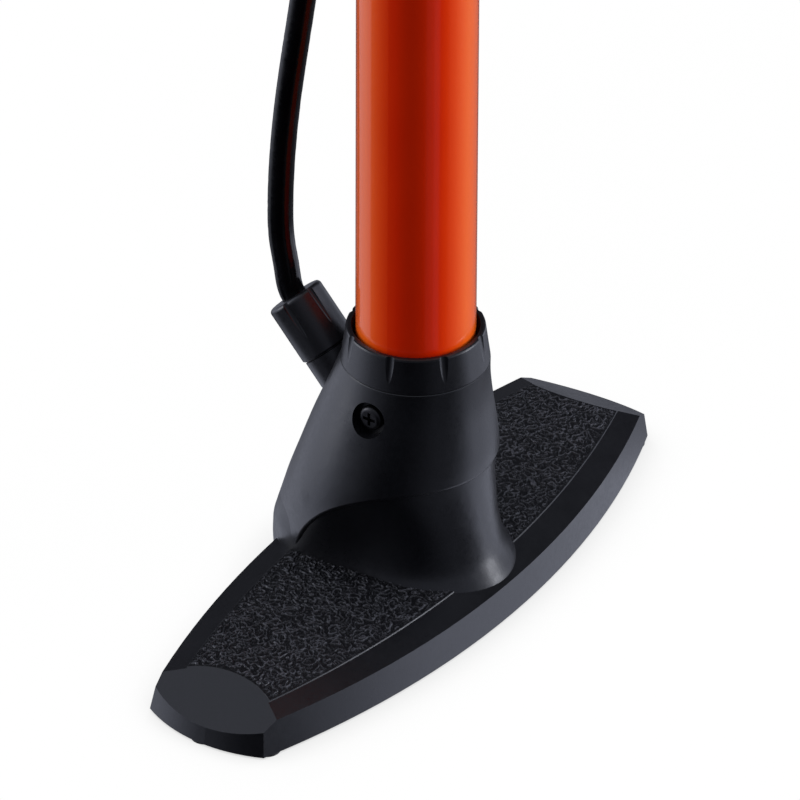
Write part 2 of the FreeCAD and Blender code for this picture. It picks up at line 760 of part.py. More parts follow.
def ferrule(x, y, low, high):
    """Crimped sleeve on a hose end."""
    body = ring(5.4, HOSE_R + 0.15, low, high, x, y)
    for z in (low + 3.0, low + 6.5, low + 10.0):
        body = body.cut(ring(6.5, 5.0, z, z + 1.4, x, y))
    return body


def hose_ferrules():
    """Sleeves on the two hose ends under the yoke."""
    return Part.makeCompound([ferrule(x, PORT_Y, 498.5, HOSE_TOP_Z) for x in (0, PORT_B_X)])


def gauge_case():
    """Gauge case, open to the front."""
    body = gauge_turned([
        (4.05, 0), (29.5, 0), (32.6, 1.2), (GAUGE_R, 4.5), (GAUGE_R, 20),
        (31.5, 20), (31.5, 3.0), (4.05, 3.0),
    ])
    return body


def gauge_stem():
    """Brass socket that feeds the bourdon tube."""
    body = gauge_axis(4.0, -10, 4.0).fuse(gauge_axis(3.0, 4.0, 5.0))
    return body.cut(gauge_axis(1.2, -12, 6))


def bourdon_tube():
    """C-shaped pressure tube with a foot on the socket and a free end."""
    section = Part.makeCircle(1.5, V(21, 0, 0), Y_AXIS)
    sweep = Part.Face(Part.Wire([section])).revolve(V(0, 0, 0), Z_AXIS, 250)
    foot = Part.makeCylinder(1.2, 16, V(5.5, 0, 0), X_AXIS)
    hub = cyl(6.5, -0.9, 1.5)
    body = fuse([sweep, foot, hub])
    body = along(body, GAUGE_BACK + GAUGE_DIR * 6.6, GAUGE_DIR)
    return body


def movement_frame():
    """Plate that carries the needle's staff."""
    body = gauge_turned([(0.9, 9.6), (12, 9.6), (12, 11.0), (0.9, 11.0)])
    posts = []
    for angle in (60, 180, 300):
        post = cyl(1.4, 8.1, 9.6, 5.0 * math.cos(math.radians(angle)), 5.0 * math.sin(math.radians(angle)))
        posts.append(along(post, GAUGE_BACK, GAUGE_DIR))
    return fuse([body] + posts)


def gauge_dial():
    """Dial plate on a spacer ring."""
    return gauge_turned([
        (2.0, 13.0), (31.2, 13.0), (31.2, 13.8), (2.0, 13.8),
    ])


def needle_staff():
    """Thin shaft that turns the needle."""
    return gauge_axis(0.8, 9.0, 17.2)


def gauge_needle():
    """Needle at the zero end of the scale."""
    hub = ring(3.2, 0.8, 14.6, 17.0)
    outline = [V(-1.3, -8, 0), V(1.3, -8, 0), V(0.9, 0, 0), V(0.25, 25, 0), V(-0.25, 25, 0), V(-0.9, 0, 0)]
    blade = Part.Face(Part.makePolygon(outline + [outline[0]])).extrude(V(0, 0, 0.7))
    blade.translate(V(0, 0, 15.2))
    blade = blade.cut(cyl(2.0, 10, 20))
    body = fuse([hub, blade])
    body.rotate(V(0, 0, 0), Z_AXIS, NEEDLE_ZERO_DEG)
    return along(body, GAUGE_BACK, GAUGE_DIR)


def gauge_lens():
    """Clear window."""
    return gauge_axis(31.4, 18.2, 19.8)


def gauge_bezel():
    """Ring that holds the window on the case."""
    return gauge_turned([
        (29.5, 20.05), (GAUGE_R + 0.05, 20.05), (GAUGE_R + 0.05, 13.5), (36.0, 13.5),
        (36.4, 14.2), (36.4, 21.0), (35.2, 22.8), (33.0, 23.4), (29.5, 21.2),
    ])


# ---- upper hose and pump head ------------------------------------------------------

SHANK_LOW_Z = 498.0


def upper_hose():
    """Hose from the yoke down, round a wide loop and up to the pump head."""
    line = [
        (PORT_B_X, PORT_Y, HOSE_TOP_Z),
        (PORT_B_X, PORT_Y, 507),
        (PORT_B_X, PORT_Y, 502),
        (PORT_B_X, PORT_Y, 497),
        (PORT_B_X - 0.4, PORT_Y + 1.0, 480),
        (-23.0, 38, 430),
        (-23.5, 47, 370),
        (-15.5, 52.5, 321),
        (11.5, 55, 295),
        (38.5, 52.5, 321),
        (46.5, 47, 370),
        (46.0, 38, 420),
        (HEAD_X + 0.4, HEAD_Y + 1.0, 464),
        (HEAD_X, HEAD_Y, 483),
        (HEAD_X, HEAD_Y, 488),
        (HEAD_X, HEAD_Y, 493),
        (HEAD_X, HEAD_Y, SHANK_LOW_Z - 0.1),
    ]
    return hose([V(*point) for point in line])


def head_ferrule():
    """Sleeve on the hose end at the pump head."""
    return ferrule(HEAD_X, HEAD_Y, 484.0, SHANK_LOW_Z - 0.1)


def head_axis(radius, y0, y1):
    """Cylinder on the pump head's mouth axis."""
    return Part.makeCylinder(radius, y1 - y0, V(HEAD_X, y0, HEAD_Z), Y_AXIS)


def head_body():
    """Pump head: hose shank, mouth barrel and ears for the lever."""
    barrel = head_axis(11.0, HEAD_PIVOT_Y - 7, 44)
    round_edges = [edge for edge in barrel.Edges if edge.BoundBox.YMax < HEAD_PIVOT_Y]
    barrel = barrel.makeFillet(2.5, round_edges)
    neck = cyl(7.5, SHANK_LOW_Z, HEAD_Z, HEAD_X, HEAD_Y)
    flare = Part.makeCone(7.5, 9.0, 7, V(HEAD_X, HEAD_Y, 527.5))
    nipple = cyl(BARB_R, 486, SHANK_LOW_Z, HEAD_X, HEAD_Y)
    body = fuse([barrel, neck, flare, nipple])
    body = body.cut(head_axis(7.0, 20.4, 50))
    body = body.cut(block(HEAD_X - 3.7, HEAD_X + 3.7, 0, 21.8, 500, 600))
    body = body.cut(cyl(1.5, 480, HEAD_Z - 5, HEAD_X, HEAD_Y + 2))
    return body.cut(Part.makeCylinder(1.95, 30, V(HEAD_X - 15, HEAD_PIVOT_Y, HEAD_Z), X_AXIS))


def head_mouth_cap():
    """Knurled cap that holds the gasket."""
    body = head_axis(13.2, 39.3, 48.5)
    front = [edge for edge in body.Edges if edge.BoundBox.YMin > 48]
    body = body.makeFillet(1.5, front)
    body = body.cut(head_axis(11.05, 34, 44.05))
    body = body.cut(head_axis(4.7, 40, 60))
    for index in range(18):
        groove = Part.makeCylinder(0.8, 6, V(HEAD_X, 39, HEAD_Z + 13.5), Y_AXIS)
        groove.rotate(V(HEAD_X, 0, HEAD_Z), Y_AXIS, 20 * index)
        body = body.cut(groove)
    return body


def head_gasket():
    """Rubber sleeve that seals on the tyre valve."""
    return head_axis(6.95, 34, 43.95).cut(head_axis(3.95, 30, 50))


def head_plunger():
    """Slider between the lever's cam and the gasket."""
    return head_axis(6.92, 20.5, 30.5).cut(head_axis(2.0, 22.5, 40))


def head_lever():
    """Thumb lever with its cam, hanging down in the open position."""
    eye = Part.makeCylinder(6.0, 7.2, V(HEAD_X - 3.6, HEAD_PIVOT_Y, HEAD_Z), X_AXIS)
    lobe = Part.makeCylinder(2.6, 7.2, V(HEAD_X - 3.6, HEAD_PIVOT_Y, HEAD_Z + 6.5), X_AXIS)
    outline = [
        V(HEAD_X - 3.6, 8.2, HEAD_Z), V(HEAD_X - 3.6, 14.5, HEAD_Z),
        V(HEAD_X - 3.6, 12.0, HEAD_Z - 14), V(HEAD_X - 3.6, 7.5, HEAD_Z - 30),
        V(HEAD_X - 3.6, 5.0, HEAD_Z - 48), V(HEAD_X - 3.6, 1.5, HEAD_Z - 50),
        V(HEAD_X - 3.6, 1.0, HEAD_Z - 46), V(HEAD_X - 3.6, 3.0, HEAD_Z - 28),
        V(HEAD_X - 3.6, 6.8, HEAD_Z - 12),
    ]
    arm = Part.Face(Part.makePolygon(outline + [outline[0]])).extrude(V(7.2, 0, 0))
    paddle = arm.copy()
    paddle.translate(V(-3.0, 0, 0))
    paddle = paddle.fuse(arm).fuse(arm.translated(V(3.0, 0, 0)))
    paddle = paddle.common(block(HEAD_X - 7, HEAD_X + 7, -10, 30, 480, HEAD_Z - 14.5))
    body = fuse([eye, lobe, arm, paddle])
    return body.cut(Part.makeCylinder(1.95, 30, V(HEAD_X - 15, HEAD_PIVOT_Y, HEAD_Z), X_AXIS))


def lever_pin():
    """Pin the lever turns on."""
    return Part.makeCylinder(1.9, 20, V(HEAD_X - 10, HEAD_PIVOT_Y, HEAD_Z), X_AXIS)


# ---- build -------------------------------------------------------------------------


def main():
    os.makedirs("parts", exist_ok=True)
    right_grip = grip()
    save("foot_base", foot_base())
    save("rubber_feet", rubber_feet())
    save("hub_pad", hub_pad())
    save("barrel_lock_ring", barrel_lock_ring())
    save("base_screws", base_screws())
    save("valve_block", valve_block())
    save("block_o_ring", Part.makeTorus(16.65, 0.78, V(0, 0, 81.8), Z_AXIS))
    save("check_poppet", check_poppet())
    save("check_spring", check_spring())
    save("check_plug", check_plug())
    save("outlet_elbow", outlet_elbow())
    save("hose_nut", hose_nut())
    save("lower_hose", lower_hose())
    save("barrel_tube", barrel_tube())
    save("barrel_cap", barrel_cap())
    save("rod_bush", rod_bush())
    save("rod_wiper", rod_wiper())
    save("piston_cup", piston_cup())
    save("piston_wear_ring", piston_wear_ring())
    save("piston_body", piston_body())
    save("piston_bolt", piston_bolt())
    save("top_bumper", top_bumper())
    save("piston_rod", piston_rod())
    save("handle_core", handle_core())
    save("grip_right", right_grip)
    save("grip_left", right_grip.mirror(V(0, 0, 0), X_AXIS))
    save("handle_end_caps", handle_end_caps())
    save("handle_bolt", handle_bolt())
    save("gauge_yoke", gauge_yoke())
    save("hose_barbs", hose_barbs())
    save("hose_ferrules", hose_ferrules())
    save("gauge_case", gauge_case())
    save("gauge_stem", gauge_stem())
    save("bourdon_tube", bourdon_tube())
    save("movement_frame", movement_frame())
    save("gauge_dial", gauge_dial())
    save("needle_staff", needle_staff())
    save("gauge_needle", gauge_needle())
    save("gauge_lens", gauge_lens())
    save("gauge_bezel", gauge_bezel())
    save("upper_hose", upper_hose())
    save("head_ferrule", head_ferrule())
    save("head_body", head_body())
    save("head_mouth_cap", head_mouth_cap())
    save("head_gasket", head_gasket())
    save("head_plunger", head_plunger())
    save("head_lever", head_lever())
    save("lever_pin", lever_pin())


main()
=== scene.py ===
import math

import bpy
from mathutils import Matrix, Vector, noise


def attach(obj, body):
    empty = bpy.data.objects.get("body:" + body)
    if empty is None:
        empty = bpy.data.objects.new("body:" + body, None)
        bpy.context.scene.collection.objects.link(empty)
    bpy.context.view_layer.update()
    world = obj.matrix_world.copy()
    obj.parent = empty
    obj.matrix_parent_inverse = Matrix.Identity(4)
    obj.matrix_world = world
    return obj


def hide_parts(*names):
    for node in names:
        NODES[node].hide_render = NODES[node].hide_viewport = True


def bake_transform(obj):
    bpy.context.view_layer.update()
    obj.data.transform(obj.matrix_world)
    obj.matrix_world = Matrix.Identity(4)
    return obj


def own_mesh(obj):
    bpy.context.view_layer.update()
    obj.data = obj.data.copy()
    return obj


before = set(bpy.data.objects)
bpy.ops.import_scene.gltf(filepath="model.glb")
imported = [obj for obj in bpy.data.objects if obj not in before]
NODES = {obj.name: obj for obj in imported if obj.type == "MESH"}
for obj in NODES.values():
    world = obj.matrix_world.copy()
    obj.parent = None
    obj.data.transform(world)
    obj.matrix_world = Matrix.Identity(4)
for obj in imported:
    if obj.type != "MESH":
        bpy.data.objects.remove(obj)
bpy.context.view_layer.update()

MM = 0.001
NOISE_SEED = 7             # without it the grain would change with the clock
noise.seed_set(NOISE_SEED)

# ---- camera numbers ----------------------------------------------------------------

VIEW_AZIMUTH = math.radians(-56.706)
VIEW_ELEVATION = math.radians(33.639)
VIEW_ROLL = math.radians(0.31)
VIEW_DISTANCE = 3.454
VIEW_LENS = 488.5
SENSOR = 36.0
PIVOT_HEIGHT = 0.8 * MM    # the camera's distance is measured from here, over the origin
FAR_CLIP = 50.0
AIM_RIGHT = -0.0181        # of the picture's width, from the origin to the picture's centre
AIM_UP = 0.2205

# ---- material helpers --------------------------------------------------------------

COOL_SHEEN = (0.92, 0.94, 1.0, 1.0)


class Material:
    """A node material being built, with short calls for the nodes used here."""

    def __init__(self, name):
        self.mat = bpy.data.materials.new(name)
        self.mat.use_nodes = True
        self.tree = self.mat.node_tree
        self.tree.nodes.clear()
        self.out = self.add("ShaderNodeOutputMaterial")
        self.shader = self.add("ShaderNodeBsdfPrincipled")
        self.link(self.shader.outputs[0], self.out.inputs["Surface"])
        self.place = self.add("ShaderNodeTexCoord").outputs["Object"]

    def add(self, kind, **values):
        node = self.tree.nodes.new(kind)
        for key, value in values.items():
            setattr(node, key, value)
        return node

    def link(self, source, target):
        self.tree.links.new(source, target)

    def set(self, **values):
        for key, value in values.items():
            self.shader.inputs[key.replace("_", " ")].default_value = value

    def noise(self, scale, detail=2.0, rough=0.5, distortion=0.0, place=None):
        node = self.add("ShaderNodeTexNoise")
        node.inputs["Scale"].default_value = scale
        node.inputs["Detail"].default_value = detail
        node.inputs["Roughness"].default_value = rough
        node.inputs["Distortion"].default_value = distortion
        self.link(place or self.place, node.inputs["Vector"])
        return node.outputs["Fac"]

    def ramp(self, value, low, high, out_low=0.0, out_high=1.0):
        node = self.add("ShaderNodeMapRange")
        node.clamp = True
        limits = {"From Min": low, "From Max": high, "To Min": out_low, "To Max": out_high}
        for key, number in limits.items():
            node.inputs[key].default_value = number
        self.link(value, node.inputs["Value"])
        return node.outputs["Result"]

    def math(self, operation, a, b=None):
        node = self.add("ShaderNodeMath", operation=operation)
        for slot, value in ((0, a), (1, b)):
            if value is None:
                continue
            if isinstance(value, (int, float)):
                node.inputs[slot].default_value = value
            else:
                self.link(value, node.inputs[slot])
        return node.outputs[0]

    def mix(self, factor, first, second):
        node = self.add("ShaderNodeMix", data_type="RGBA")
        self.link(factor, node.inputs["Factor"])
        for socket, value in ((node.inputs["A"], first), (node.inputs["B"], second)):
            if isinstance(value, tuple):
                socket.default_value = (*value, 1.0)
            else:
                self.link(value, socket)
        return node.outputs["Result"]

    def bump(self, height, distance, strength=1.0, normal=None):
        node = self.add("ShaderNodeBump")
        node.inputs["Strength"].default_value = strength
        node.inputs["Distance"].default_value = distance
        self.link(height, node.inputs["Height"])
        if normal is not None:
            self.link(normal, node.inputs["Normal"])
        return node.outputs["Normal"]

    def edge_mask(self, radius, low, high):
        """0 on flat ground, 1 along edges."""
        bevel = self.add("ShaderNodeBevel", samples=4)
        bevel.inputs["Radius"].default_value = radius
        geometry = self.add("ShaderNodeNewGeometry")
        dot = self.add("ShaderNodeVectorMath", operation="DOT_PRODUCT")
        self.link(bevel.outputs[0], dot.inputs[0])
        self.link(geometry.outputs["Normal"], dot.inputs[1])
        return self.ramp(dot.outputs["Value"], high, low)


def moulded_plastic(name, dark, light, rough, grain_mm=0.35, grain_depth=0.02, edge_highlight_share=0.25):
    """Moulded black plastic: fine grain, slightly uneven colour and sheen, edges painted paler in patches
    as a painted highlight.
    """
    m = Material(name)
    patches = m.noise(38.0, 3.0, 0.55)
    fine = m.noise(1.0 / (grain_mm * MM), 2.0, 0.6)
    speck = m.noise(5200.0, 1.0, 0.5)
    mottle = m.noise(620.0, 3.0, 0.6)
    colour = m.mix(m.ramp(patches, 0.3, 0.7), dark, light)
    # painted highlight: the edges are painted paler, in patches, where light would catch them
    edge = m.edge_mask(0.0009, 0.86, 0.99)
    painted_edge_highlight = m.math("MULTIPLY", edge, m.ramp(m.noise(240.0, 4.0, 0.7), 0.42, 0.7, 0.0, edge_highlight_share))
    edge_highlight_colour = tuple(min(1.0, c * 3.0 + 0.02) for c in light)
    m.link(m.mix(painted_edge_highlight, colour, edge_highlight_colour), m.shader.inputs["Base Color"])
    sheen = m.ramp(patches, 0.25, 0.75, rough - 0.04, rough + 0.05)
    sheen = m.math("ADD", sheen, m.ramp(speck, 0.3, 0.7, -0.04, 0.04))
    sheen = m.math("ADD", sheen, m.ramp(mottle, 0.35, 0.65, -0.03, 0.03))
    m.link(sheen, m.shader.inputs["Roughness"])
    skin = m.bump(mottle, 0.018 * MM, 0.8)
    m.link(m.bump(fine, grain_depth * MM, 0.6, skin), m.shader.inputs["Normal"])
    m.set(Specular_IOR_Level=0.5, Specular_Tint=COOL_SHEEN)
    return m.mat


def tread_plastic():
    """Moulded plastic whose raised grain is smoother than its valleys and painted far paler, a painted
    highlight; the valleys reflect less, a painted shade.
    """
    m = Material("tread_black")
    ridge = m.add("ShaderNodeAttribute", attribute_name="ridge").outputs["Fac"]
    patches = m.noise(38.0, 3.0, 0.55)
    # painted highlight: the grain's ridges are painted far paler than its valleys, in patches
    painted_ridge_highlight = m.math("MULTIPLY", m.ramp(ridge, 0.35, 0.95), m.ramp(patches, 0.2, 0.8, 0.6, 1.0))
    valley = m.mix(m.ramp(patches, 0.3, 0.7), (0.0022, 0.0022, 0.003), (0.0036, 0.0036, 0.0046))
    ridge_highlight_colour = (0.058, 0.058, 0.068)
    m.link(m.mix(painted_ridge_highlight, valley, ridge_highlight_colour), m.shader.inputs["Base Color"])
    # painted shade: the valleys reflect less than the ridges
    m.link(m.ramp(ridge, 0.2, 0.9, 0.28, 0.75), m.shader.inputs["Specular IOR Level"])
    m.link(m.ramp(ridge, 0.2, 0.9, 0.46, 0.30), m.shader.inputs["Roughness"])
    m.link(m.bump(m.noise(4000.0, 2.0, 0.6), 0.01 * MM, 0.6), m.shader.inputs["Normal"])
    m.set(Specular_IOR_Level=0.5, Specular_Tint=COOL_SHEEN)
    return m.mat


def barrel_paint():
    """Glossy coat that turns from red to orange at a slant, with a faint orange-peel skin."""
    m = Material("barrel_paint")
    cloud = m.noise(24.0, 2.0, 0.5)
    faced = m.mix(m.ramp(cloud, 0.3, 0.7), (0.93, 0.024, 0.0), (0.98, 0.030, 0.0005))
    geometry = m.add("ShaderNodeNewGeometry")
    facing = m.add("ShaderNodeVectorMath", operation="DOT_PRODUCT")
    m.link(geometry.outputs["Incoming"], facing.inputs[0])
    m.link(geometry.outputs["Normal"], facing.inputs[1])
    flop = m.ramp(facing.outputs["Value"], 0.80, 0.48)
    m.link(m.mix(flop, faced, (0.97, 0.135, 0.010)), m.shader.inputs["Base Color"])
    peel = m.noise(420.0, 1.0, 0.4)
    m.link(m.ramp(m.noise(900.0, 2.0), 0.3, 0.7, 0.20, 0.26), m.shader.inputs["Roughness"])
    m.link(m.bump(peel, 0.05 * MM, 0.5), m.shader.inputs["Normal"])
    m.set(Coat_Weight=1.0, Coat_Roughness=0.03, Specular_IOR_Level=0.2)
    m.link(m.bump(peel, 0.02 * MM, 0.5), m.shader.inputs["Coat Normal"])
    return m.mat


def rubber(name, dark, light, rough, grain_mm=0.5, depth=0.03, shine=0.5):
    """Soft rubber: dusty colour variation and a fine skin."""
    m = Material(name)
    dust = m.noise(60.0, 5.0, 0.6)
    fine = m.noise(1.0 / (grain_mm * MM), 3.0, 0.6)
    m.link(m.mix(m.ramp(dust, 0.35, 0.75), dark, light), m.shader.inputs["Base Color"])
    m.link(m.ramp(dust, 0.3, 0.7, rough - 0.05, rough + 0.05), m.shader.inputs["Roughness"])
    m.link(m.bump(fine, depth * MM, 0.6), m.shader.inputs["Normal"])
    m.set(Specular_IOR_Level=shine)
    return m.mat


def metal(name, colour, rough, stretch=(1.0, 1.0, 1.0), tint=0.15):
    """Metal with fine directional marks and light staining."""
    m = Material(name)
    mapping = m.add("ShaderNodeMapping")
    mapping.inputs["Scale"].default_value = stretch
    m.link(m.place, mapping.inputs["Vector"])
    marks = m.noise(900.0, 3.0, 0.6, place=mapping.outputs[0])
    stain = m.noise(90.0, 4.0, 0.6)
    darker = tuple(c * (1.0 - tint) for c in colour)
    m.link(m.mix(m.ramp(stain, 0.35, 0.7), darker, colour), m.shader.inputs["Base Color"])
    m.link(m.ramp(marks, 0.3, 0.7, rough - 0.05, rough + 0.07), m.shader.inputs["Roughness"])
    m.link(m.bump(marks, 0.01 * MM, 0.4), m.shader.inputs["Normal"])
    m.set(Metallic=1.0)
    return m.mat


def window_glass():
    """Clear plastic window with faint smears."""
    m = Material("window")
    smear = m.noise(55.0, 4.0, 0.6)
    m.link(m.ramp(smear, 0.4, 0.7, 0.02, 0.09), m.shader.inputs["Roughness"])
    clear = m.mix(m.ramp(smear, 0.3, 0.7), (0.97, 0.98, 0.98), (0.92, 0.95, 0.95))
    m.link(clear, m.shader.inputs["Base Color"])
    m.set(Transmission_Weight=1.0, IOR=1.3)
    return m.mat


def dial_paint():
    """Printed dial card."""
    m = Material("dial_card")
    mottle = m.noise(300.0, 3.0, 0.6)
    card = m.mix(m.ramp(mottle, 0.3, 0.7), (0.80, 0.80, 0.77), (0.86, 0.86, 0.83))
    m.link(card, m.shader.inputs["Base Color"])
    m.link(m.ramp(mottle, 0.3, 0.7, 0.45, 0.6), m.shader.inputs["Roughness"])
    return m.mat


MOULDING = moulded_plastic("moulding_black", (0.0024, 0.0024, 0.0032), (0.0042, 0.0043, 0.0055), 0.34)
TREAD = tread_plastic()
RING = moulded_plastic("ring_black", (0.0024, 0.0024, 0.0032), (0.004, 0.004, 0.0052), 0.32, edge_highlight_share=0.15)
HOSE = rubber("hose_black", (0.0012, 0.0012, 0.0016), (0.003, 0.003, 0.004), 0.16, 0.8, 0.006, 0.22)
SOFT = rubber("soft_rubber", (0.012, 0.012, 0.013), (0.02, 0.02, 0.021), 0.6)
GRIP = rubber("grip_rubber", (0.012, 0.012, 0.013), (0.022, 0.022, 0.024), 0.55, 0.6, 0.06)
VALVE = moulded_plastic("valve_plastic", (0.42, 0.42, 0.38), (0.5, 0.5, 0.46), 0.4, edge_highlight_share=0.1)
STEEL = metal("steel", (0.56, 0.56, 0.57), 0.3)
CHROME = metal("rod_chrome", (0.72, 0.72, 0.73), 0.12, (1.0, 1.0, 0.05), 0.06)
BRASS = metal("brass", (0.72, 0.47, 0.17), 0.28)
FERRULE = metal("ferrule", (0.50, 0.50, 0.52), 0.3)
BLACK_SCREW = metal("screw_black", (0.035, 0.035, 0.038), 0.38)
PAINT = barrel_paint()

FINISH = {
    MOULDING: ["foot_base", "gauge_yoke", "handle_core", "head_body", "handle_end_caps", "gauge_case"],
    RING: [
        "barrel_lock_ring", "hose_nut", "outlet_elbow", "barrel_cap", "gauge_bezel", "head_mouth_cap",
        "head_lever",
    ],
    PAINT: ["barrel_tube"],
    HOSE: ["lower_hose", "upper_hose"],
    SOFT: [
        "rubber_feet", "hub_pad", "block_o_ring", "check_poppet", "piston_cup", "top_bumper", "rod_wiper",
        "head_gasket",
    ],
    GRIP: ["grip_left", "grip_right"],
    VALVE: ["valve_block", "check_plug", "piston_body", "piston_wear_ring", "rod_bush", "head_plunger"],
    STEEL: ["check_spring", "piston_bolt", "handle_bolt", "lever_pin", "movement_frame"],
    CHROME: ["piston_rod"],
    BRASS: ["hose_barbs", "gauge_stem", "bourdon_tube", "needle_staff"],
    FERRULE: ["hose_ferrules", "head_ferrule"],
    BLACK_SCREW: ["base_screws"],
    dial_paint(): ["gauge_dial"],
    moulded_plastic("needle_red", (0.5, 0.02, 0.01), (0.6, 0.03, 0.015), 0.35): ["gauge_needle"],
    window_glass(): ["gauge_lens"],
}

for finish, names in FINISH.items():
    for name in names:
        mesh = NODES[name].data
        mesh.materials.clear()
        mesh.materials.append(finish)

# ---- tread -------------------------------------------------------------------------

TREAD_FRONT_CENTRE_Y = 330.7
TREAD_FRONT_R = 357.4
TREAD_BACK_Y = 31.2
TREAD_BACK_R = 437.0
TREAD_LOW_Z = 14.25
CROWN_Z = 16.1
FACET_X = 105.0
FACET_Y = 4.0
FACET_Z = 11.38
FACET_SLOPE = 0.508
FACET_LEAN = -0.024
TREAD_START_X = 12.0
TREAD_END_X = 98.0
TREAD_WIDTH = 57.0         # sets how many rows of points lie across the tread
TREAD_GAP = 0.15           # between the grained skin and the tread's edge
SKIN_LIFT = 0.02
SKIN_THICKNESS = 0.6
GRAIN_STEP = 0.21
GRAIN_HEIGHT = 0.5
GRAIN_FADE = 1.2           # width of the smooth border
GRAIN_WARP_SCALE = 0.25
GRAIN_WARP = 1.3
BIG_GRAIN_SCALE = 0.60
BIG_GRAIN_WIDTH = 0.15
SMALL_GRAIN_SCALE = 1.02
SMALL_GRAIN_WIDTH = 0.13
SMALL_GRAIN_SHARE = 0.7


def tread_edges(x):
    """Front and back line of the tread at x, in millimetres."""
    front = TREAD_FRONT_CENTRE_Y - math.sqrt(TREAD_FRONT_R ** 2 - x * x) + TREAD_GAP
    back = TREAD_BACK_Y - TREAD_BACK_R + math.sqrt(TREAD_BACK_R ** 2 - x * x) - TREAD_GAP
    return front, back


def facet_start(y, height):
    """How far along the plate the end facet reaches a height."""
    v = y - FACET_Y
    return FACET_X + (FACET_Z + FACET_LEAN * v - height) / FACET_SLOPE


def crown_height(share):
    """Height of the crowned tread at a share of the way across."""
    return TREAD_LOW_Z + (CROWN_Z - TREAD_LOW_Z) * (1.0 - (2.0 * share - 1.0) ** 2)


def grain(x, y):
    """Leather-like pattern of short wiggly ridges, 0 to 1."""
    warp = noise.noise_vector(Vector((x * GRAIN_WARP_SCALE, y * GRAIN_WARP_SCALE, 3.0))) * GRAIN_WARP
    point = Vector((x + warp.x, y + warp.y, 0.0))
    first = abs(noise.noise(point * BIG_GRAIN_SCALE + Vector((0, 0, 7.3))))
    second = abs(noise.noise(point * SMALL_GRAIN_SCALE + Vector((31.0, 0, 1.7))))
    ridge = max(0.0, 1.0 - first / BIG_GRAIN_WIDTH) ** 0.9
    small = max(0.0, 1.0 - second / SMALL_GRAIN_WIDTH) * SMALL_GRAIN_SHARE
    return min(1.0, max(ridge, small))


def tread_point(side, along, share):
    """Point of the skin, at shares of the way along and across the tread, and its ridge there."""
    height = crown_height(share)
    front, back = tread_edges(TREAD_END_X)
    end_x = facet_start(front + (back - front) * share, height)
    x = TREAD_START_X + (end_x - TREAD_START_X) * along
    front, back = tread_edges(x)
    y = front + (back - front) * share
    margin = min(y - front, back - y, end_x - x, GRAIN_FADE) / GRAIN_FADE
    ridge = grain(side * x, y) * margin
    lift = GRAIN_HEIGHT * ridge
    return (side * x * MM, y * MM, (height + SKIN_LIFT + lift) * MM), ridge


def grid_faces(columns, rows, flipped):
    """Quads between the points of a grid, column by column."""
    faces = []
    for i in range(columns):
        for j in range(rows):
            a = i * (rows + 1) + j
            quad = (a, a + rows + 1, a + rows + 2, a + 1)
            faces.append(quad[::-1] if flipped else quad)
    return faces


def tread_skin(name, side):
    """Grained skin of the tread on one side of the hub."""
    columns = int((TREAD_END_X - TREAD_START_X) / GRAIN_STEP)
    rows = int(TREAD_WIDTH / GRAIN_STEP)
    points = []
    ridges = []
    for i in range(columns + 1):
        for j in range(rows + 1):
            point, ridge = tread_point(side, i / columns, j / rows)
            points.append(point)
            ridges.append(ridge)
    faces = grid_faces(columns, rows, side < 0)
    mesh = bpy.data.meshes.new(name)
    mesh.from_pydata(points, [], faces)
    mesh.polygons.foreach_set("use_smooth", [True] * len(faces))
    mesh.attributes.new("ridge", "FLOAT", "POINT").data.foreach_set("value", ridges)
    skin = bpy.data.objects.new(name, mesh)
    bpy.context.scene.collection.objects.link(skin)
    thickness = skin.modifiers.new("thickness", "SOLIDIFY")
    thickness.thickness = SKIN_THICKNESS * MM
    thickness.offset = -1.0
    mesh.materials.append(TREAD)
    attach(skin, "base")


tread_skin("tread_right", 1)
tread_skin("tread_left", -1)

# ---- dial scale --------------------------------------------------------------------

GAUGE_TILT = math.radians(40.0)
GAUGE_BACK = Vector((0.0, -48.6, 528.9))
DIAL_FACE = 13.8           # of the dial card above the case's back
TICK_COUNT = 31
TICKS_PER_MAJOR = 5
TICK_HEIGHT = 0.12
INK_LIFT = 0.01
LONG_TICK = (22.5, 0.45)   # inner radius and half width
SHORT_TICK = (25.5, 0.22)
SCALE_START = 0.0          # where the needle points at rest, clockwise from upright
SCALE_SPAN = math.radians(270.0)
SCALE_R = 28.5


def dial_point(radius, angle, height):
    """Point over the dial: angle is turned from the gauge's upward direction."""
    up = Vector((0.0, math.sin(GAUGE_TILT), math.cos(GAUGE_TILT)))
    out = Vector((0.0, -math.cos(GAUGE_TILT), math.sin(GAUGE_TILT)))
    across = up.cross(out)
    on_card = up * (radius * math.cos(angle)) + across * (radius * math.sin(angle))
    return GAUGE_BACK + on_card + out * height


def add_tick(points, faces, angle, inner, half_width):
    """One raised printed stroke of the scale."""
    first = len(points)
    for height in (DIAL_FACE + INK_LIFT, DIAL_FACE + TICK_HEIGHT):
        for radius, side in ((inner, -1), (inner, 1), (SCALE_R, 1), (SCALE_R, -1)):
            points.append(dial_point(radius, angle + side * half_width / radius, height) * MM)
    sides = [(corner, (corner + 1) % 4, (corner + 1) % 4 + 4, corner + 4) for corner in range(4)]
    for quad in [(3, 2, 1, 0), (4, 5, 6, 7)] + sides:
        faces.append(tuple(first + corner for corner in quad))


